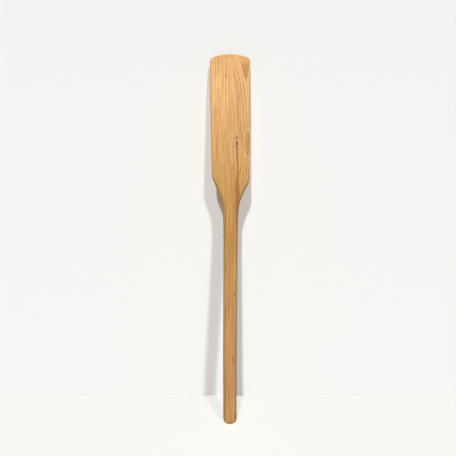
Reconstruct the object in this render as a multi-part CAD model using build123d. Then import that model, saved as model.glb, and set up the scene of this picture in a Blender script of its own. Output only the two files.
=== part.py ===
from build123d import *
import os

# A one-piece paddle for stirring apple butter, sawn from a single board.
# It stands blade up: +Z runs from the end of the handle to the tip of the blade,
# X is across the blade, and Y is through the board, with the front face towards -Y.
# The origin is at the bottom centre, at the end of the handle. All sizes are in millimetres.

# The board
overall_length = 1067.0
board_thickness = 22.0

# The blade, from its crowned tip down to where the shoulders start. Its sides run parallel
# near the tip, bend gently over the run given each way, and then draw in to the shoulders.
blade_length = 380.0
tip_width = 123.8
tip_crown_rise = 15.5
tip_corner_radius = 14.0
parallel_length = 107.0
side_bend_run = 38.0
shoulder_width = 110.2
blade_edge_radius = 4.5

# The shoulders: a corner on each side, a sawn flank that runs in to the throat, and a neck
# that flares out a little to meet it. They are shaped by hand, so the right corner is lower
# than the left one, and the left edge is rounded more. An edge flat is what the rounding
# leaves, between front and back, where it is fullest.
shoulder_length = 195.0
throat_width = 50.5
left_shoulder_edge_flat = 1.0
right_shoulder_edge_flat = 5.0

# The handle, from the foot of the shoulders down to its rounded end, which has a crown
# and two corner arcs with the spacing between their centres
neck_width = 41.8
handle_end_width = 35.4
handle_edge_flat = 4.0
end_crown_rise = 6.0
end_corner_spacing = 5.0

# Places down the shoulders, as shares of their length: the two corners, the throat, where
# the neck's flare starts and where the edges are rounded most. A bend spreads both ways.
left_corner_place = 0.055
right_corner_place = 0.13
throat_place = 0.43
flare_place = 0.78
corner_spread = 0.045
throat_spread = 0.13
flare_spread = 0.15
roundest_place = 0.27

# The shoulders are lofted through sections, which lie closer together near the corners
shoulder_sections = 17
section_crowding = 1.4

# Heights above the end of the handle, half sizes and how much the straight sides lean
shoulder_top = overall_length - blade_length
shoulder_foot = shoulder_top - shoulder_length
tip_side_top = overall_length - tip_crown_rise
side_bend = overall_length - parallel_length
half_thickness = board_thickness / 2
half_tip = tip_width / 2
half_shoulder = shoulder_width / 2
half_throat = throat_width / 2
half_neck = neck_width / 2
half_end = handle_end_width / 2
handle_edge_radius = half_thickness - handle_edge_flat / 2
end_corner_radius = half_end - end_corner_spacing / 2
blade_lean = (half_tip - half_shoulder) / (side_bend - shoulder_top)
handle_lean = (half_neck - half_end) / (shoulder_foot - end_crown_rise)


def ease_edges(body, joint_height, radius):
    """Round the edges of both flat faces, but not where the body joins the shoulders."""
    face_edges = body.faces().filter_by(Axis.Y).edges()
    free_edges = [edge for edge in face_edges if abs(edge.center().Z - joint_height) > radius]
    return fillet(free_edges, radius=radius)


def blade_side(side):
    """One side of the blade: a parallel stretch, a gentle bend and a stretch that draws in."""
    bend_start = (side * half_tip, side_bend + side_bend_run)
    bend_end = (side * (half_tip - blade_lean * side_bend_run), side_bend - side_bend_run)
    Line((side * half_tip, tip_side_top), bend_start)
    Bezier(bend_start, (side * half_tip, side_bend), bend_end)
    Line(bend_end, (side * half_shoulder, shoulder_top))


def make_blade():
    """The blade: sides that widen upwards, a crowned tip and eased edges."""
    with BuildPart() as blade:
        with BuildSketch(Plane.XZ):
            with BuildLine():
                blade_side(-1)
                Line((-half_shoulder, shoulder_top), (half_shoulder, shoulder_top))
                blade_side(1)
                ThreePointArc((half_tip, tip_side_top), (0, overall_length), (-half_tip, tip_side_top))
            outline = make_face()
            fillet(outline.vertices().group_by(Axis.Y)[-1], radius=tip_corner_radius)
        extrude(amount=half_thickness, both=True)
        ease_edges(blade, shoulder_top, blade_edge_radius)
    return blade.part


def make_handle():
    """The handle: a grip with well rounded edges that narrows to a rounded end."""
    with BuildPart() as handle:
        with BuildSketch(Plane.XZ):
            with BuildLine():
                Polyline(
                    (-half_end, end_crown_rise),
                    (-half_neck, shoulder_foot),
                    (half_neck, shoulder_foot),
                    (half_end, end_crown_rise),
                )
                ThreePointArc((half_end, end_crown_rise), (0, 0), (-half_end, end_crown_rise))
            outline = make_face()
            fillet(outline.vertices().group_by(Axis.Y)[0], radius=end_corner_radius)
        extrude(amount=half_thickness, both=True)
        ease_edges(handle, shoulder_foot, handle_edge_radius)
    return handle.part


def past_bend(distance, spread):
    """How far a line has gone past a bend: 0 before it, the distance itself after it, and
    within its spread a parabola that touches both."""
    if abs(distance) < spread:
        return (distance + spread) ** 2 / (4 * spread)
    return max(distance, 0)


def side_reach(drop, corner_place):
    """How far a side reaches from the centre line, at a drop below the top of the shoulders."""
    corner, throat, flare = [place * shoulder_length for place in (corner_place, throat_place, flare_place)]
    drops = (0, corner, throat, flare, shoulder_length)
    corner_reach = half_shoulder - blade_lean * corner
    flare_reach = half_neck + handle_lean * (shoulder_length - flare)
    reaches = (half_shoulder, corner_reach, half_throat, flare_reach, half_neck)
    slopes = [(reaches[i + 1] - reaches[i]) / (drops[i + 1] - drops[i]) for i in range(len(drops) - 1)]
    reach = half_shoulder + slopes[0] * drop
    for i, spread in enumerate((corner_spread, throat_spread, flare_spread)):
        reach += (slopes[i + 1] - slopes[i]) * past_bend(drop - drops[i + 1], spread * shoulder_length)
    return reach


def ease(start, finish, share):
    """A value that goes smoothly from start to finish, level at both ends."""
    return start + (finish - start) * share**2 * (3 - 2 * share)


def edge_rounding(fullest_flat, share):
    """The edge radius along a shoulder: the blade's, swelling to its fullest, then the handle's."""
    fullest = half_thickness - fullest_flat / 2
    if share < roundest_place:
        return ease(blade_edge_radius, fullest, share / roundest_place)
    return ease(fullest, handle_edge_radius, (share - roundest_place) / (1 - roundest_place))


def shoulder_section(share):
    """The board's cross-section at a share of the way down the shoulders."""
    drop = share * shoulder_length
    left = side_reach(drop, left_corner_place)
    right = side_reach(drop, right_corner_place)
    with BuildSketch(Plane.XY.offset(shoulder_top - drop)) as section:
        with Locations(((right - left) / 2, 0)):
            Rectangle(left + right, board_thickness)
        left_corners = section.vertices().group_by(Axis.X)[0]
        fillet(left_corners, radius=edge_rounding(left_shoulder_edge_flat, share))
        right_corners = section.vertices().group_by(Axis.X)[-1]
        fillet(right_corners, radius=edge_rounding(right_shoulder_edge_flat, share))
    return section.sketch


def make_shoulders(blade, handle):
    """The blade's own section, carried down through the shoulders into the handle's."""
    sections = [blade.faces().sort_by(Axis.Z)[0]]
    for index in range(1, shoulder_sections + 1):
        sections.append(shoulder_section((index / (shoulder_sections + 1)) ** section_crowding))
    sections.append(handle.faces().sort_by(Axis.Z)[-1])
    return loft(sections)


def make_paddle():
    """Blade, shoulders and handle in one piece, because they are one board."""
    blade = make_blade()
    handle = make_handle()
    return blade + make_shoulders(blade, handle) + handle


os.makedirs("parts", exist_ok=True)
export_step(make_paddle(), "parts/paddle.step")
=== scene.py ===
import math

import bpy
import numpy as np
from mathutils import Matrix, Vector


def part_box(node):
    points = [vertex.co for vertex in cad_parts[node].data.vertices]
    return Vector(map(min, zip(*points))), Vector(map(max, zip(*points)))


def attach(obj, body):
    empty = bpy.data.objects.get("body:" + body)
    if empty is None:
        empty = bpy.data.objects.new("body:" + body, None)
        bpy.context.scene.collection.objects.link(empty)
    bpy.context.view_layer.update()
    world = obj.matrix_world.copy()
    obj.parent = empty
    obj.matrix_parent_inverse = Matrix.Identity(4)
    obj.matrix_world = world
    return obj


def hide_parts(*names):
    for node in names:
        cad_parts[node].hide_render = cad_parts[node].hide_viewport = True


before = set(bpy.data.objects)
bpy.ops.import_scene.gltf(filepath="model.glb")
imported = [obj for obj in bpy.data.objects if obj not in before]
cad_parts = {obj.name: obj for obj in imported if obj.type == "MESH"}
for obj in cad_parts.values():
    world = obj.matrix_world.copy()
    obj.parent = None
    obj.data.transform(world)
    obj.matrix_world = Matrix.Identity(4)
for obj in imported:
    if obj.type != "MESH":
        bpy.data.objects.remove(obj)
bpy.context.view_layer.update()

# A one-piece wooden stirring paddle, blade up, on the end of its handle. All sizes are in
# metres. X is across the blade, Y is through the board with the front face towards -Y, and
# Z runs up from the end of the handle.
paddle_low, paddle_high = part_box("paddle")
overall_length = round(paddle_high.z - paddle_low.z, 3)
board_thickness = round(paddle_high.y - paddle_low.y, 4)
half_thickness = board_thickness / 2

# The blade, whose sides run parallel near the tip and then draw in to the shoulders
blade_length = 0.380
half_tip = 0.0619
tip_crown_rise = 0.0155
tip_corner_radius = 0.014
parallel_length = 0.107
side_bend_run = 0.038
half_shoulder = 0.0551
blade_edge_radius = 0.0045

# The shoulders: places down them are shares of their length, and a bend spreads both ways.
# An edge flat is what the rounding leaves, between front and back, where it is fullest.
shoulder_length = 0.195
half_throat = 0.02525
left_shoulder_edge_flat = 0.001
right_shoulder_edge_flat = 0.005
left_corner_place = 0.055
right_corner_place = 0.13
throat_place = 0.43
flare_place = 0.78
corner_spread = 0.045
throat_spread = 0.13
flare_spread = 0.15
roundest_place = 0.27

# The handle
half_neck = 0.0209
half_end = 0.0177
handle_edge_radius = 0.009
end_crown_rise = 0.006
end_corner_radius = 0.0152

shoulder_top = overall_length - blade_length
shoulder_foot = shoulder_top - shoulder_length
tip_side_top = overall_length - tip_crown_rise
side_bend = overall_length - parallel_length
blade_lean = (half_tip - half_shoulder) / (side_bend - shoulder_top)
handle_lean = (half_neck - half_end) / (shoulder_foot - end_crown_rise)

# How finely the surface is laid out: rows up the length, columns across, steps round an edge
surface_rows = 540
surface_columns = 53
rounding_steps = 6
wall_steps = 3
side_steps = 1500
arc_steps = 400

# How far the crowned tip and the rounded end bend the rows of the flat faces
tip_row_bend = 0.11
end_row_bend = 0.035

# The rings of the tree. They run through the board at a slant, so on the back face they lie
# further left. A ring place is how far across the rings a point lies.
ring_slant = 0.35
ring_spacing = 0.0080

# The figure is where the rings lean over, on the upper right. The lean grows up to its height,
# sets in between two places across, and is only a share of itself on the back face.
figure_height = 1.035
figure_lean = 0.028
figure_fade = 0.074
figure_start = -0.006
figure_full = 0.020
back_figure = 0.4

# The figure's lines are also darker. They set in between left and right, and are darkest
# around the middle height.
figure_left = -0.010
figure_right = 0.025
figure_middle = 0.950
figure_reach = 0.085

# The knot, which the rings bend round, and the dark streak of pith that runs down from it:
# its places across at heights going down, with half its width and how dark it is there. It
# fades by a share towards the back face.
knot_across = 0.020
knot_height = 0.771
knot_bend = 0.80
knot_bend_across = 0.030
knot_bend_above = 0.036
knot_bend_below = 0.085
streak_heights = (0.778, 0.760, 0.724, 0.700, 0.675, 0.645, 0.615, 0.585, 0.540, 0.490)
streak_across = (0.0200, 0.0205, 0.0213, 0.0220, 0.0216, 0.0198, 0.0212, 0.0200, 0.0185, 0.0175)
streak_half_widths = (0.0016, 0.0022, 0.0021, 0.0019, 0.0028, 0.0034, 0.0045, 0.0046, 0.0038, 0.0025)
streak_darkness = (0.6, 1.0, 0.95, 0.75, 0.9, 1.0, 0.95, 0.8, 0.6, 0.0)
streak_fade = 0.6

# The flame in the top right corner: a tongue of darker grain that hangs down. Its power says
# how round its end is, and it narrows by a share of the depth behind the front face.
flame_foot = 0.980
flame_foot_across = 0.0475
flame_top = 1.035
flame_top_across = 0.0465
flame_half_width = 0.0125
flame_power = 0.4
flame_rise_limit = 1.3
flame_narrowing = 0.3

# The board isn't quite straight: how far its middle line lies across, at heights going up
crook_heights = (0.0, 0.17, 0.36, 0.50, 0.60, 0.75, 0.88, 0.96)
crook_across = (-0.0014, -0.0014, -0.0001, 0.0011, 0.0014, 0.0009, 0.0006, 0.0)

# Smoothing by hand leaves shallow hollows, deeper along the edges. They come again after each
# of the lengths, twist by so many radians a metre and fade out towards both ends.
hollow_depth = 0.0002
edge_hollow_depth = 0.0004
hollow_lengths = (0.083, 0.047, 0.131)
hollow_twists = (40, -90, 25)
hollow_fade = 0.05

# The camera stands in front of the paddle, at the height of the upper handle, and looks
# slightly up at the blade.
camera_side = -0.0065
camera_distance = 0.9754
camera_height = 0.383
camera_pitch_degrees = 8.31
camera_lens_mm = 27.0

# The stage: a pale floor, and a pale backdrop that leans over the paddle from behind. The lift
# brightens the floor where it is seen, and not what it throws on the paddle.
backdrop_foot = 0.218
backdrop_lean = 0.19
backdrop_top = 3.0
stage_reach = 6.0
floor_tone = (0.68, 0.68, 0.65)
floor_lift = 0.84
backdrop_tone = (0.90, 0.905, 0.89)
surround_light = 0.09


def ease(start, finish, share):
    """Goes from start to finish along 3t^2 - 2t^3, level at both ends; share t is held to 0..1."""
    held = np.clip(share, 0, 1)
    return start + (finish - start) * held**2 * (3 - 2 * held)


def past_bend(distance, spread):
    """How far a line has gone past a bend: 0 before it and the distance itself after it.

    Within the spread s it is the parabola (distance + s)^2 / 4s, which touches both."""
    near = np.clip(distance + spread, 0, 2 * spread)
    return near**2 / (4 * spread) + np.maximum(distance - spread, 0)


def side_reach(height, corner_place):
    """How far a side reaches from the centre line at each height.

    It is a straight line up from the handle's end, plus, at each bend, the change of slope
    times how far the height has gone past that bend."""
    corner = shoulder_top - corner_place * shoulder_length
    throat = shoulder_top - throat_place * shoulder_length
    flare = shoulder_top - flare_place * shoulder_length
    corner_reach = half_shoulder - blade_lean * (shoulder_top - corner)
    flare_reach = half_neck + handle_lean * (flare - shoulder_foot)
    heights = (end_crown_rise, flare, throat, corner, side_bend, tip_side_top)
    reaches = (half_end, flare_reach, half_throat, corner_reach, half_tip, half_tip)
    slopes = np.diff(reaches) / np.diff(heights)
    shoulder_spreads = [share * shoulder_length for share in (flare_spread, throat_spread, corner_spread)]
    reach = half_end + slopes[0] * (height - end_crown_rise)
    for bend, spread, change in zip(heights[1:-1], (*shoulder_spreads, side_bend_run), np.diff(slopes)):
        reach = reach + change * past_bend(height - bend, spread)
    return reach


def edge_rounding(height, fullest_flat):
    """The edge radius at each height: the handle's, easing to its fullest at the roundest place
    of the shoulders, and from there easing to the blade's."""
    share = (shoulder_top - height) / shoulder_length
    fullest = half_thickness - fullest_flat / 2
    above = ease(blade_edge_radius, fullest, share / roundest_place)
    below = ease(fullest, handle_edge_radius, (share - roundest_place) / (1 - roundest_place))
    return np.where(share < roundest_place, above, below)


def crowned_end(half_width, lean, crown_rise, corner_radius):
    """Half of a crowned end, in a frame with its centre line at 0 and its side's end at height 0.

    The crown is a circle through the side's end and the top of the rise. The corner is a circle
    that touches the side and the crown from inside: its centre lies one corner radius inside
    the side's line, at the crown's radius less its own from the crown's centre. Returns the
    corner's centre and the two angles of its arc, then the crown's centre height and radius."""
    crown_radius = (half_width**2 + crown_rise**2) / (2 * crown_rise)
    crown_height = crown_rise - crown_radius
    along = np.array([lean, 1]) / math.hypot(lean, 1)
    outward = np.array([1, -lean]) / math.hypot(lean, 1)
    start = np.array([half_width, -crown_height]) - corner_radius * outward
    reach = (start @ along) ** 2 - start @ start + (crown_radius - corner_radius) ** 2
    corner = start + (math.sqrt(reach) - start @ along) * along
    crown_angle = math.atan2(corner[1], corner[0])
    side_angle = math.atan2(outward[1], outward[0])
    return corner + [0, crown_height], (side_angle, crown_angle), crown_height, crown_radius


def arc(centre, radius, start, finish, edge_radius):
    """Points on a circle from a start angle to a finish angle.

    Each row holds the place (two), the way inward (two) and the edge radius."""
    angle = np.linspace(start, finish, arc_steps)
    way = np.stack([np.cos(angle), np.sin(angle)], axis=1)
    place = np.asarray(centre) + radius * way
    return np.column_stack([place, -way, np.full(arc_steps, edge_radius)])


def end_curves(half_width, lean, crown_rise, corner_radius, edge_radius):
    """The right half of a crowned end: the lower half of its corner, then the rest up to the middle."""
    corner, angles, crown_height, crown_radius = crowned_end(half_width, lean, crown_rise, corner_radius)
    middle = sum(angles) / 2
    lower_corner = arc(corner, corner_radius, angles[0], middle, edge_radius)
    upper_corner = arc(corner, corner_radius, middle, angles[1], edge_radius)
    crown = arc((0, crown_height), crown_radius, angles[1], math.pi / 2, edge_radius)
    return lower_corner, np.concatenate([upper_corner, crown[1:]])


def mirrored(curve):
    """The same curve on the other side of the centre line."""
    return curve * [-1, 1, -1, 1, 1]


def turned_down(curve, height):
    """A crowned end's curve turned to point down, with its side's end at a height."""
    return curve * [1, -1, 1, -1, 1] + [0, height, 0, 0, 0]


def resampled(curve, count):
    """The same curve with points spaced evenly along its length, by linear interpolation."""
    step = np.hypot(*np.diff(curve[:, :2], axis=0).T)
    length = np.concatenate([[0], np.cumsum(step)])
    wanted = np.linspace(0, length[-1], count)
    return np.stack([np.interp(wanted, length, column) for column in curve.T], axis=1)


def one_side(corner_place, fullest_flat, tip_corner, end_corner):
    """A side of the outline from the middle of the end's corner up to the middle of the tip's.

    It is laid out as a right side. Between the two corners it follows the side's reach."""
    height = np.linspace(end_corner[0, 1], tip_corner[0, 1], side_steps)[1:-1]
    reach = side_reach(height, corner_place)
    inward = np.tile([-1.0, 0.0], (len(height), 1))
    straight = np.column_stack([reach, height, inward, edge_rounding(height, fullest_flat)])
    return np.concatenate([end_corner[::-1], straight, tip_corner])


def outline():
    """The paddle's outline as four curves of rows: across, up, inward way (two), edge radius.

    The left and right sides go up from the end's corners to the tip's. The end's and the tip's
    curves go from left to right. Neighbours meet in the middle of the four rounded corners."""
    tip_curves = end_curves(half_tip, 0, tip_crown_rise, tip_corner_radius, blade_edge_radius)
    tip_corner, tip_crown = [curve + [0, tip_side_top, 0, 0, 0] for curve in tip_curves]
    foot_curves = end_curves(half_end, -handle_lean, end_crown_rise, end_corner_radius, handle_edge_radius)
    end_corner, end_crown = [turned_down(curve, end_crown_rise) for curve in foot_curves]
    left = mirrored(one_side(left_corner_place, left_shoulder_edge_flat, tip_corner, end_corner))
    right = one_side(right_corner_place, right_shoulder_edge_flat, tip_corner, end_corner)
    tip = np.concatenate([mirrored(tip_crown), tip_crown[::-1][1:]])
    end = np.concatenate([mirrored(end_crown), end_crown[::-1][1:]])
    return (
        resampled(left, surface_rows),
        resampled(right, surface_rows),
        resampled(end, surface_columns),
        resampled(tip, surface_columns),
    )


def flat_face(left, right, end, tip):
    """Rows of points between four curves that meet at their ends.

    Each row is the straight line between the sides. Near the tip and the end a row also takes
    a share of that curve's bow above its own chord, which eases away over the bend's length."""
    across = np.linspace(0, 1, surface_columns)[None, :, None]
    flat = left[:, None] * (1 - across) + right[:, None] * across
    across = across[0]
    tip_bow = tip - (tip[:1] * (1 - across) + tip[-1:] * across)
    end_bow = end - (end[:1] * (1 - across) + end[-1:] * across)
    height = (left[:, 1] + right[:, 1]) / 2
    tip_share = ease(1, 0, (height[-1] - height) / tip_row_bend)[:, None, None]
    end_share = ease(1, 0, (height - height[0]) / end_row_bend)[:, None, None]
    return flat + tip_share * tip_bow + end_share * end_bow


def rim_order():
    """Numbers of a face grid's border points, once round: up the left, over the tip, down, back."""
    number = np.arange(surface_rows * surface_columns).reshape(surface_rows, surface_columns)
    return np.concatenate([number[:-1, 0], number[-1, :-1], number[:0:-1, -1], number[0, :0:-1]])


def paddle_surface():
    """Points, rim shares and quads of the whole paddle.

    The rim goes round the outline. Its section is a quarter circle of the edge radius r from
    the front face to the side wall, the wall itself, and a quarter circle to the back face: at
    angle a it lies r (1 - cos a) inside the outline and r (1 - sin a) below the face. The two
    faces are flat grids within the rim."""
    sides = outline()
    inner = [curve[:, :2] + curve[:, 2:4] * curve[:, 4:] for curve in sides]
    left, right, end, tip = sides
    loop = np.concatenate([left[:-1], tip[:-1], right[:0:-1], end[:0:-1]])
    face = flat_face(*inner).reshape(-1, 2)
    order = rim_order()
    border = np.concatenate([inner[0][:-1], inner[3][:-1], inner[1][:0:-1], inner[2][:0:-1]])
    face[order] = border

    radius = loop[:, 4:]
    quarter = np.linspace(math.pi / 2, 0, rounding_steps + 1)[1:]
    flat_half = half_thickness - radius[:, 0]
    places, inward = loop[:, :2], loop[:, 2:4]
    rounds = []
    for angle in quarter:
        moved_in = places + inward * radius * (1 - math.cos(angle))
        depth = flat_half + radius[:, 0] * math.sin(angle)
        rounds.append((moved_in, depth, angle))
    walls = [(places, flat_half * (1 - 2 * step / wall_steps), 0.0) for step in range(1, wall_steps)]
    back = [(place, -depth, -angle) for place, depth, angle in reversed(rounds)]
    rings = rounds + walls + back

    outward = np.column_stack([-inward[:, 0], np.zeros(len(loop)), -inward[:, 1]])
    forward = np.array([0.0, -1.0, 0.0])
    front_points = np.column_stack([face[:, 0], np.full(len(face), -half_thickness), face[:, 1]])
    back_points = front_points * [1, -1, 1]
    ring_points = [np.column_stack([place[:, 0], -depth, place[:, 1]]) for place, depth, angle in rings]
    ring_ways = [outward * math.cos(angle) + forward * math.sin(angle) for place, depth, angle in rings]
    ring_rims = [np.full(len(loop), math.cos(angle)) for place, depth, angle in rings]
    face_way = np.tile(forward, (len(face), 1))
    points = np.concatenate([front_points, *ring_points, back_points])
    ways = np.concatenate([face_way, *ring_ways, -face_way])
    rims = np.concatenate([np.zeros(len(face)), *ring_rims, np.zeros(len(face))])

    number = np.arange(len(face)).reshape(surface_rows, surface_columns)
    squares = np.stack([number[:-1, :-1], number[:-1, 1:], number[1:, 1:], number[1:, :-1]], axis=-1)
    front_quads = squares.reshape(-1, 4)
    back_start = len(face) + len(rings) * len(loop)
    back_quads = front_quads[:, ::-1] + back_start
    ring_numbers = [len(face) + step * len(loop) + np.arange(len(loop)) for step in range(len(rings))]
    loops = np.stack([order, *ring_numbers, order + back_start])
    following = np.roll(loops, -1, axis=1)
    rim_quads = np.stack([loops[:-1], following[:-1], following[1:], loops[1:]], axis=-1).reshape(-1, 4)
    quads = np.concatenate([front_quads, rim_quads, back_quads])
    return hand_shaped(points, ways, rims), rims, quads


def hand_shaped(points, ways, rims):
    """The points moved in by shallow hollows, set across by the crook and fitted in the solid's height.

    The hollows are a product of sines of height and place, between 0 and their full depth, and
    fade out at both ends. The fit scales heights from the overall length to the solid's own."""
    across, through, height = points.T
    twists = [twist * place for twist, place in zip(hollow_twists, (across, through, across))]
    turns = [2 * math.pi * height / length for length in hollow_lengths]
    waves = [np.sin(turn + twist) for turn, twist in zip(turns, twists)]
    hollow = 0.5 + 0.5 * waves[0] * waves[1] * waves[2]
    away_from_ends = ease(0, 1, height / hollow_fade) * ease(0, 1, (overall_length - height) / hollow_fade)
    depth = hollow_depth + (edge_hollow_depth - hollow_depth) * rims
    shaped = points - ways * (depth * hollow * away_from_ends)[:, None]
    shaped[:, 0] += np.interp(height, crook_heights, crook_across)
    shaped[:, 2] = paddle_low.z + shaped[:, 2] * (paddle_high.z - paddle_low.z) / overall_length
    return shaped


def make_mesh(name, points, quads):
    """A mesh of quads, shaded smooth."""
    mesh = bpy.data.meshes.new(name)
    mesh.vertices.add(len(points))
    mesh.vertices.foreach_set("co", points.astype(np.float32).ravel())
    mesh.loops.add(quads.size)
    mesh.loops.foreach_set("vertex_index", quads.astype(np.int32).ravel())
    mesh.polygons.add(len(quads))
    mesh.polygons.foreach_set("loop_start", np.arange(0, quads.size, 4, dtype=np.int32))
    mesh.update(calc_edges=True)
    mesh.validate()
    mesh.polygons.foreach_set("use_smooth", np.ones(len(quads), dtype=bool))
    return mesh


def ring_place(points):
    """How far across the rings each point lies.

    It is the place across, plus the slant times the depth behind the front face. Towards the
    top right it gains a lean that grows as exp(height / fade), and round the knot the distance
    from the knot shrinks by 1 - bend exp(-(across/width)^2 - (height/reach)^2)."""
    across, through, height = points.T
    depth = through + half_thickness
    place = across + ring_slant * depth
    figure = 1 - (1 - back_figure) * depth / board_thickness
    leaning = ease(0, 1, (place - figure_start) / (figure_full - figure_start))
    place = place + figure * figure_lean * leaning * np.exp((height - figure_height) / figure_fade)
    above = np.where(height > knot_height, knot_bend_above, knot_bend_below)
    beside = ((place - knot_across) / knot_bend_across) ** 2 + ((height - knot_height) / above) ** 2
    return knot_across + (place - knot_across) * (1 - knot_bend * np.exp(-beside))


def streak_field(points):
    """The pith streak: 1 on its middle line falling to 0 at twice its half width, times its darkness."""
    across, through, height = points.T
    rising = slice(None, None, -1)
    line = np.interp(height, streak_heights[rising], streak_across[rising])
    half_width = np.interp(height, streak_heights[rising], streak_half_widths[rising])
    darkness = np.interp(height, streak_heights[rising], streak_darkness[rising], right=0)
    depth_share = (through + half_thickness) / board_thickness
    beside = np.abs(across - line + ring_slant * board_thickness * depth_share) / half_width
    return darkness * (1 - streak_fade * depth_share) * np.clip(1 - beside / 2, 0, 1)


def flame_field(points):
    """How far inside the flame a point lies, in metres, less the narrowing times its depth.

    The flame hangs from the top like a tongue with a round end: at a rise t above its foot its
    sides lie at middle -+ half width t^power, and its middle line slants with t."""
    across, through, height = points.T
    rise = np.clip((height - flame_foot) / (flame_top - flame_foot), 0, flame_rise_limit)
    middle = flame_foot_across + (flame_top_across - flame_foot_across) * rise
    inside = flame_half_width * rise**flame_power - np.abs(across - middle)
    return np.minimum(inside, height - flame_foot) - flame_narrowing * (through + half_thickness)


def figure_field(points):
    """How dark the figure's lines are.

    It rises from 0 at the figure's left to 1 at its right, along 3t^2 - 2t^3, times
    exp(-((height - figure middle) / figure reach)^2)."""
    across, through, height = points.T
    rising = ease(0, 1, (across - figure_left) / (figure_right - figure_left))
    return rising * np.exp(-(((height - figure_middle) / figure_reach) ** 2))


class Nodes:
    """Lays out the nodes of a material or of the world. Each method adds one and gives its result."""

    def __init__(self, owner):
        self.tree = owner.node_tree

    def put(self, kind, inputs, result=0, **settings):
        """A node with its settings, and its inputs given as numbers or as other results."""
        node = self.tree.nodes.new(kind)
        for name, value in settings.items():
            setattr(node, name, value)
        for name, value in inputs.items():
            if isinstance(value, bpy.types.NodeSocket):
                self.tree.links.new(value, node.inputs[name])
            else:
                node.inputs[name].default_value = value
        return node.outputs[result]

    def calc(self, operation, *values):
        """A sum, product or other operation on numbers."""
        return self.put("ShaderNodeMath", dict(enumerate(values)), operation=operation)

    def level(self, value, low, high, low_result=0.0, high_result=1.0):
        """A number mapped smoothly from one range to another and held inside it."""
        inputs = {0: value, 1: low, 2: high, 3: low_result, 4: high_result}
        return self.put("ShaderNodeMapRange", inputs, interpolation_type="SMOOTHSTEP")

    def around(self, value, reach, middle):
        """Noise around a half, brought to a reach around a middle."""
        return self.calc("MULTIPLY_ADD", self.calc("SUBTRACT", value, 0.5), reach, middle)

    def surface_value(self, name):
        """A value that is kept on the mesh's points."""
        return self.put("ShaderNodeAttribute", {}, "Fac", attribute_name=name)

    def place(self, across, through, height):
        """A vector from three numbers."""
        return self.put("ShaderNodeCombineXYZ", {0: across, 1: through, 2: height})

    def stretched(self, place, across, through, along):
        """A place scaled differently across the grain, through it and along it."""
        return self.put("ShaderNodeMapping", {"Vector": place, "Scale": (across, through, along)})

    def noise(self, place, detail=2.0, roughness=0.5):
        """Soft noise about 1 unit in size, around a half."""
        inputs = {"Vector": place, "Scale": 1.0, "Detail": detail, "Roughness": roughness}
        return self.put("ShaderNodeTexNoise", inputs, "Fac", noise_dimensions="3D")

    def blend(self, share, first, second, kind="MIX"):
        """A colour between two, or the first one multiplied by a share of the second."""
        inputs = {0: share, 6: first, 7: second}
        return self.put("ShaderNodeMix", inputs, 2, data_type="RGBA", blend_type=kind)

    def tones(self, share, stops):
        """A colour read from a list of (share, colour)."""
        node = self.tree.nodes.new("ShaderNodeValToRGB")
        self.tree.links.new(share, node.inputs[0])
        elements = node.color_ramp.elements
        for _ in stops[2:]:
            elements.new(0.5)
        for element, (place, colour) in zip(elements, stops):
            element.position = place
            element.color = (*colour, 1)
        return node.outputs[0]


# The wood's tones, as plain colours in linear light. The first list goes up the paddle, from
# the handle's end at 0 to the blade's tip at 1: it is darker lower down, partly from handling
# and partly as painted shade where less light reaches the lower paddle.
height_tones_and_shade = (
    (0.00, (0.505, 0.275, 0.102)),
    (0.20, (0.569, 0.303, 0.124)),
    (0.45, (0.507, 0.263, 0.076)),
    (0.60, (0.544, 0.306, 0.098)),
    (0.70, (0.668, 0.382, 0.149)),
    (0.80, (0.719, 0.418, 0.177)),
    (0.90, (0.835, 0.502, 0.231)),
    (1.00, (0.806, 0.450, 0.202)),
)
latewood_tone = (0.77, 0.61, 0.42, 1)
peach_tone = (1.04, 0.98, 0.99, 1)
ochre_tone = (0.96, 1.01, 0.86, 1)
knot_tone = (0.24, 0.080, 0.018, 1)
halo_tone = (0.42, 0.175, 0.052, 1)
streak_tone = (0.33, 0.125, 0.032, 1)
flame_tone = (0.55, 0.265, 0.085, 1)
flame_edge_tone = (0.73, 0.375, 0.125, 1)
# painted shade for the shoulders' edges, which face down away from the lamps
painted_shoulder_shade_tone = (0.34, 0.22, 0.075, 1)
patch_tone = (0.53, 0.255, 0.062, 1)
patch_rim_tone = (0.34, 0.15, 0.038, 1)
patch_halo_tone = (0.86, 0.55, 0.27, 1)
warm_band_tone = (0.94, 0.50, 0.125, 1)
grey_patch_tone = (0.80, 0.50, 0.235, 1)
golden_tone = (0.60, 0.29, 0.055, 1)
pale_tone = (0.89, 0.595, 0.275, 1)
# edges: partly wear, partly painted shade where the rounding turns away from the lamps
worn_and_shaded_edge_tone = (0.62, 0.62, 0.52, 1)
fleck_tone = (0.40, 0.28, 0.17, 1)

# Marks in the wood, and two strips of painted shade along the shoulders: the middle across and
# up, half sizes across and up, lean in degrees. They go down from the front face to the mark depth.
knot_core = (0.0200, 0.7770, 0.0055, 0.0110, 0)
knot_arch = (0.0200, 0.7950, 0.0115, 0.0105, 0)
side_patch = (0.0528, 0.7760, 0.0092, 0.0335, 0)
patch_halo = (0.0535, 0.7800, 0.0124, 0.0420, 0)
side_patch_tip = (0.0500, 0.7440, 0.0026, 0.0090, -8)
warm_band = (-0.0500, 0.7900, 0.0085, 0.1000, 0)
golden_band = (-0.0370, 0.6480, 0.0080, 0.0420, -25)
# Painted shade along the shoulders' edges, where they face down away from the lamps
left_shoulder_painted_shade = (-0.0400, 0.6420, 0.0034, 0.0400, -22)
right_shoulder_painted_shade = (0.0408, 0.6330, 0.0028, 0.0340, 26)
grey_patch = (-0.0060, 1.0450, 0.0170, 0.0110, 0)
pale_band = (-0.0414, 0.9550, 0.0060, 0.1150, 0)
orange_patch = (0.0420, 1.0490, 0.0140, 0.0070, -8)
flame_dot = (0.0500, 0.9930, 0.0018, 0.0060, 0)
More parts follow.
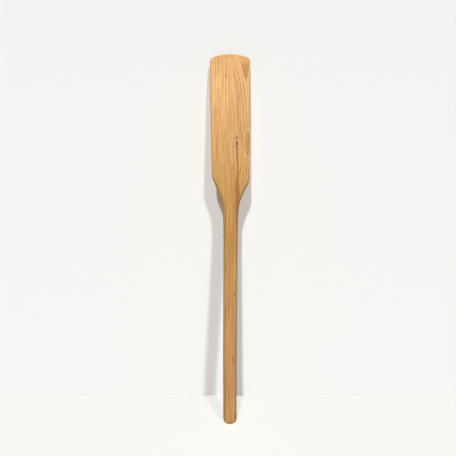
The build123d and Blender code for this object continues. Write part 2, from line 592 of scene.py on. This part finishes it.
blade_flecks = (
    (-0.0266, 1.0155, 0.0019, 0.0085, 0),
    (-0.0125, 0.9945, 0.0036, 0.0140, 0),
    (0.0248, 0.9205, 0.0017, 0.0100, -10),
    (0.0056, 0.6990, 0.0015, 0.0120, 6),
    (0.0287, 0.6930, 0.0016, 0.0180, 12),
)
handle_flecks = (
    (0.0053, 0.4305, 0.0015, 0.0100, 0),
    (0.0115, 0.3380, 0.0016, 0.0120, 0),
    (0.0065, 0.1640, 0.0014, 0.0230, -11),
    (0.0118, 0.0230, 0.0016, 0.0110, -6),
)
blade_fleck_strength = 0.62
mark_depth = 0.014


# How fine the parts of the grain are, per metre of ring place, through the board and up it
waver_scale = (45, 20, 2.2)
turns_scale = (95, 1, 0.4)
fibre_scale = (900, 900, 11)
strand_scale = (260, 260, 6)
line_scale = (380, 380, 9)
pore_scale = (1900, 1900, 70)
mottle_scale = (38, 38, 9)
hue_scale = (230, 60, 2.0)

# The rings waver by metres and close up and open out by a number of rings. Latewood sets in,
# is full and stops at shares of a ring. Its strength changes from ring to ring and up the board.
waver_reach = 0.0075
turns_reach = 1.9
latewood_start = 0.20
latewood_full = 0.90
latewood_stop = 0.93
ring_step = 3.7
ring_changes = 11.0
weakest_ring = 0.10
strongest_ring = 0.95
figure_strength = 0.40

# How strongly the parts of the grain show in the colour, and how ragged they make the marks
strand_contrast = 0.74
fibre_contrast = 0.44
mottle_contrast = 0.44
line_darkness = 0.55
pore_darkness = 0.35
ragged_reach = 0.004

# Sheen and relief
plain_roughness = 0.64
roughness_reach = 0.22
latewood_polish = 0.06
sheen_level = 0.22
latewood_relief = 0.35
fibre_relief = 0.55
pore_relief = 0.6
relief_strength = 0.55
relief_depth = 0.00025


def mark_distance(nodes, place, shape):
    """How far out in a mark a place lies, 0 in its middle and 1 at its outline: an ellipsoid in
    the front of the board."""
    across, height, half_across, half_up, lean = shape
    inputs = {
        "Vector": place,
        "Location": (across, -half_thickness, height),
        "Rotation": (0, math.radians(lean), 0),
        "Scale": (half_across, mark_depth, half_up),
    }
    local = nodes.put("ShaderNodeMapping", inputs, vector_type="TEXTURE")
    return nodes.put("ShaderNodeVectorMath", {0: local}, "Value", operation="LENGTH")


def mark(nodes, place, shape, softness=0.6):
    """1 in the middle of a mark, fading to 0 at its outline over the softness."""
    return nodes.level(mark_distance(nodes, place, shape), 1, 1 - softness)


def mark_rim(nodes, place, shape, half_width):
    """1 on the outline of a mark, fading to 0 at half its width inside and outside it."""
    off = nodes.calc("ABSOLUTE", nodes.calc("SUBTRACT", mark_distance(nodes, place, shape), 1.0))
    return nodes.level(off, half_width, 0)


def make_wood():
    """Honey-coloured wood: rings, fibres, pores and marks laid along the ring places, with some painted
    shade on the edges, the shoulders and the lower paddle.
    """
    material = bpy.data.materials.new("honey_wood")
    material.use_nodes = True
    nodes = Nodes(material)
    shader = material.node_tree.nodes["Principled BSDF"]
    here = nodes.put("ShaderNodeTexCoord", {}, "Object")
    parts = material.node_tree.nodes.new("ShaderNodeSeparateXYZ")
    material.node_tree.links.new(here, parts.inputs[0])
    through, height = parts.outputs[1], parts.outputs[2]
    rings = nodes.surface_value("ring_place")
    rim = nodes.surface_value("rim_share")
    grain = nodes.place(rings, through, height)

    # The rings waver slowly up the board, and are wide and narrow, strong and weak by turns
    waver = nodes.noise(nodes.stretched(grain, *waver_scale), 2)
    turns = nodes.noise(nodes.stretched(grain, *turns_scale), 1)
    wavered = nodes.calc("MULTIPLY_ADD", waver, waver_reach, rings)
    count = nodes.calc("DIVIDE", wavered, ring_spacing)
    count = nodes.calc("MULTIPLY_ADD", turns, turns_reach, count)
    ring_share = nodes.calc("FRACT", count)
    latewood = nodes.level(ring_share, latewood_start, latewood_full)
    latewood = nodes.calc("MULTIPLY", latewood, nodes.level(ring_share, 1.0, latewood_stop))
    ring_number = nodes.calc("MULTIPLY", nodes.calc("FLOOR", count), ring_step)
    along = nodes.calc("MULTIPLY", height, ring_changes)
    ring_noise = nodes.noise(nodes.place(ring_number, 0.0, along), 2)
    ring_strength = nodes.level(ring_noise, 0.3, 0.68, weakest_ring, strongest_ring)
    figure = nodes.surface_value("figure")
    ring_strength = nodes.calc("MULTIPLY_ADD", figure, figure_strength, ring_strength)
    latewood = nodes.calc("MULTIPLY", latewood, ring_strength)

    # Fine fibres, longer strands, thin brown lines, short dark pores and broad mottling
    fibres = nodes.noise(nodes.stretched(grain, *fibre_scale), 3, 0.6)
    strands = nodes.noise(nodes.stretched(grain, *strand_scale), 2, 0.55)
    thin_lines = nodes.level(nodes.noise(nodes.stretched(grain, *line_scale), 1), 0.55, 0.70)
    pores = nodes.level(nodes.noise(nodes.stretched(grain, *pore_scale), 1), 0.66, 0.74)
    mottle = nodes.noise(nodes.stretched(grain, *mottle_scale), 3, 0.6)

    # Tones: up the board, darker lower down partly as painted shade, then between peach and ochre across it
    colour = nodes.tones(nodes.calc("DIVIDE", height, overall_length), height_tones_and_shade)
    hue = nodes.level(nodes.noise(nodes.stretched(grain, *hue_scale), 2), 0.32, 0.68)
    tint = nodes.blend(hue, peach_tone, ochre_tone)
    colour = nodes.blend(1.0, colour, tint, "MULTIPLY")
    colour = nodes.blend(latewood, colour, latewood_tone, "MULTIPLY")
    lines = nodes.calc("MULTIPLY", thin_lines, line_darkness)
    colour = nodes.blend(lines, colour, latewood_tone, "MULTIPLY")
    streaky = nodes.around(strands, strand_contrast, 1.0)
    streaky = nodes.around(fibres, fibre_contrast, streaky)
    streaky = nodes.around(mottle, mottle_contrast, streaky)
    colour = nodes.put("ShaderNodeVectorMath", {0: colour, "Scale": streaky}, operation="SCALE")

    # Marks, on places that the strands have made a little ragged
    ragged = nodes.around(strands, ragged_reach, 0.0)
    shifted = nodes.put("ShaderNodeVectorMath", {0: here, 1: nodes.place(ragged, 0.0, ragged)})
    flame_inside = nodes.calc("ADD", nodes.surface_value("flame_inside"), ragged)
    flame = nodes.level(flame_inside, -0.0005, 0.0025)
    flame_colour = nodes.blend(nodes.level(height, 1.026, 1.042), flame_tone, flame_edge_tone)
    flame_colour = nodes.put("ShaderNodeVectorMath", {0: flame_colour, "Scale": streaky}, operation="SCALE")
    streak = nodes.level(nodes.surface_value("streak"), 0.05, 0.65)

    # Each row: how much of the mark is here, its tone and how strongly it shows
    marks = (
        (flame, flame_colour, 0.95),
        (mark(nodes, shifted, flame_dot, 0.8), streak_tone, 0.7),
        (mark(nodes, shifted, warm_band, 0.9), warm_band_tone, 0.35),
        (mark(nodes, shifted, pale_band, 0.9), pale_tone, 0.45),
        (mark(nodes, shifted, golden_band, 0.8), golden_tone, 0.75),
        # painted shade along the shoulders' edges
        (mark(nodes, shifted, left_shoulder_painted_shade, 0.9), painted_shoulder_shade_tone, 0.75),
        (mark(nodes, shifted, right_shoulder_painted_shade, 0.9), painted_shoulder_shade_tone, 0.65),
        (mark(nodes, shifted, grey_patch, 0.5), grey_patch_tone, 0.45),
        (mark(nodes, shifted, orange_patch, 0.6), flame_edge_tone, 0.35),
        (mark_rim(nodes, shifted, patch_halo, 0.24), patch_halo_tone, 0.28),
        (mark(nodes, shifted, side_patch, 0.3), patch_tone, 0.85),
        (mark_rim(nodes, shifted, side_patch, 0.14), patch_rim_tone, 0.55),
        (mark(nodes, shifted, side_patch_tip, 0.8), streak_tone, 0.8),
        (mark(nodes, shifted, knot_arch, 0.9), halo_tone, 0.85),
        (streak, streak_tone, 0.90),
        (mark(nodes, shifted, knot_core, 0.6), knot_tone, 1.0),
    )
    for share, tone, strength in marks:
        colour = nodes.blend(nodes.calc("MULTIPLY", share, strength), colour, tone)
    for shape in blade_flecks + handle_flecks:
        strength = blade_fleck_strength if shape in blade_flecks else 1.0
        share = nodes.calc("MULTIPLY", mark(nodes, here, shape, 0.8), strength)
        colour = nodes.blend(share, colour, fleck_tone, "MULTIPLY")
    dark_pores = nodes.calc("MULTIPLY", pores, pore_darkness)
    colour = nodes.blend(dark_pores, colour, fleck_tone, "MULTIPLY")

    # Edges are darker, partly with use and partly as painted olive shade where the rounding turns
    # away from the lamps, more in some places than in others
    uneven = nodes.level(mottle, 0.2, 0.6, 0.55, 0.95)
    worn_and_shaded_rim = nodes.calc("MULTIPLY", nodes.level(rim, 0.35, 1.0), uneven)
    colour = nodes.blend(worn_and_shaded_rim, colour, worn_and_shaded_edge_tone, "MULTIPLY")
    material.node_tree.links.new(colour, shader.inputs["Base Color"])

    # The hard latewood is a little smoother and stands up a little, and pores go in
    rough = nodes.around(mottle, roughness_reach, plain_roughness)
    rough = nodes.calc("MULTIPLY_ADD", latewood, -latewood_polish, rough)
    material.node_tree.links.new(rough, shader.inputs["Roughness"])
    shader.inputs["Specular IOR Level"].default_value = sheen_level
    fibre_height = nodes.calc("MULTIPLY", fibres, fibre_relief)
    relief = nodes.calc("MULTIPLY_ADD", latewood, latewood_relief, fibre_height)
    relief = nodes.calc("MULTIPLY_ADD", pores, -pore_relief, relief)
    inputs = {"Height": relief, "Strength": relief_strength, "Distance": relief_depth}
    bump = nodes.put("ShaderNodeBump", inputs, "Normal")
    material.node_tree.links.new(bump, shader.inputs["Normal"])
    return material


def keep_on_surface(mesh, name, values):
    """Keeps one number on each of the mesh's points."""
    attribute = mesh.attributes.new(name, "FLOAT", "POINT")
    attribute.data.foreach_set("value", values.astype(np.float32))


def make_paddle():
    """The paddle's surface with its wood."""
    points, rims, quads = paddle_surface()
    mesh = make_mesh("stirring_paddle", points, quads)
    keep_on_surface(mesh, "ring_place", ring_place(points))
    keep_on_surface(mesh, "rim_share", rims)
    keep_on_surface(mesh, "streak", streak_field(points))
    keep_on_surface(mesh, "flame_inside", flame_field(points))
    keep_on_surface(mesh, "figure", figure_field(points))
    mesh.materials.append(make_wood())
    paddle = bpy.data.objects.new("stirring_paddle", mesh)
    bpy.context.scene.collection.objects.link(paddle)
    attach(paddle, "root")
    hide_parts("paddle")


def make_camera():
    """The camera at the photograph's viewing angle."""
    camera_data = bpy.data.cameras.new("camera")
    camera_data.lens = camera_lens_mm
    camera_data.clip_start = 0.01
    camera = bpy.data.objects.new("camera", camera_data)
    camera.location = (camera_side, -camera_distance, camera_height)
    camera.rotation_euler = (math.radians(90 + camera_pitch_degrees), 0, 0)
    bpy.context.scene.collection.objects.link(camera)
    bpy.context.scene.camera = camera


def seen_directly(nodes):
    """1 for what the camera sees, directly or in a gloss or through glass, and 0 for light on things."""
    ray = nodes.tree.nodes.new("ShaderNodeLightPath").outputs
    gloss = nodes.calc("MAXIMUM", ray["Is Glossy Ray"], ray["Is Transmission Ray"])
    return nodes.calc("MAXIMUM", ray["Is Camera Ray"], gloss)


def stage_material(name, tone, lift=0.0, open_back=False):
    """A pale matt stage surface. A lift brightens it where it is seen directly, and an open back
    can be looked through from behind."""
    material = bpy.data.materials.new(name)
    material.use_nodes = True
    nodes = Nodes(material)
    shader = material.node_tree.nodes["Principled BSDF"]
    shader.inputs["Base Color"].default_value = (*tone, 1)
    shader.inputs["Roughness"].default_value = 0.9
    shader.inputs["Specular IOR Level"].default_value = 0.0
    if lift:
        shader.inputs["Emission Color"].default_value = (*tone, 1)
        strength = nodes.calc("MULTIPLY", seen_directly(nodes), lift)
        material.node_tree.links.new(strength, shader.inputs["Emission Strength"])
    if open_back:
        geometry = nodes.tree.nodes.new("ShaderNodeNewGeometry")
        clear = nodes.put("ShaderNodeBsdfTransparent", {})
        inputs = {0: geometry.outputs["Backfacing"], 1: shader.outputs[0], 2: clear}
        both = nodes.put("ShaderNodeMixShader", inputs)
        output = material.node_tree.nodes["Material Output"]
        material.node_tree.links.new(both, output.inputs["Surface"])
    return material


def make_plane(name, corners, material):
    """A flat stage surface through four corners."""
    mesh = bpy.data.meshes.new(name)
    mesh.from_pydata(corners, [], [(0, 1, 2, 3)])
    mesh.materials.append(material)
    plane = bpy.data.objects.new(name, mesh)
    bpy.context.scene.collection.objects.link(plane)
    return plane


def make_stage():
    """The floor and the backdrop."""
    r = stage_reach
    floor_material = stage_material("pale_floor", floor_tone, lift=floor_lift)
    backdrop_material = stage_material("pale_backdrop", backdrop_tone, open_back=True)
    make_plane("floor", [(-r, -r, 0), (r, -r, 0), (r, r, 0), (-r, r, 0)], floor_material)
    foot = backdrop_foot
    back = foot - backdrop_lean * backdrop_top
    corners = [(-r, foot, 0), (r, foot, 0), (r, back, backdrop_top), (-r, back, backdrop_top)]
    backdrop = make_plane("backdrop", corners, backdrop_material)
    backdrop.visible_shadow = False
    backdrop.visible_diffuse = False
    backdrop.visible_glossy = False
    backdrop.visible_transmission = False


def make_sun(name, travel, strength, spread_degrees, casts_shadow=True):
    """A distant soft lamp whose light goes along a direction."""
    lamp = bpy.data.lights.new(name, "SUN")
    lamp.energy = strength
    lamp.angle = math.radians(spread_degrees)
    lamp.use_shadow = casts_shadow
    sun = bpy.data.objects.new(name, lamp)
    sun.rotation_mode = "QUATERNION"
    sun.rotation_quaternion = Vector(travel).to_track_quat("-Z", "Y")
    bpy.context.scene.collection.objects.link(sun)


def make_lights():
    """Two soft lamps above and in front, two behind that cast no shadow, and a weak even light
    from all round, behind which the picture's background is white."""
    make_sun("right_lamp", travel=(-0.30, 1.0, -0.41), strength=1.26, spread_degrees=5)
    make_sun("left_lamp", travel=(0.12, 1.0, -0.46), strength=1.73, spread_degrees=3)
    behind = {"spread_degrees": 20, "casts_shadow": False}
    make_sun("left_back_fill", travel=(0.85, -1.0, -0.15), strength=1.25, **behind)
    make_sun("right_back_fill", travel=(-0.85, -1.0, -0.15), strength=1.00, **behind)
    world = bpy.data.worlds.new("surroundings")
    world.use_nodes = True
    nodes = Nodes(world)
    strength = nodes.calc("MULTIPLY_ADD", seen_directly(nodes), 1 - surround_light, surround_light)
    background = world.node_tree.nodes["Background"]
    background.inputs["Color"].default_value = (1, 1, 1, 1)
    world.node_tree.links.new(strength, background.inputs["Strength"])
    bpy.context.scene.world = world


make_camera()
make_stage()
make_lights()
make_paddle()
bpy.context.scene.view_settings.view_transform = "Standard"
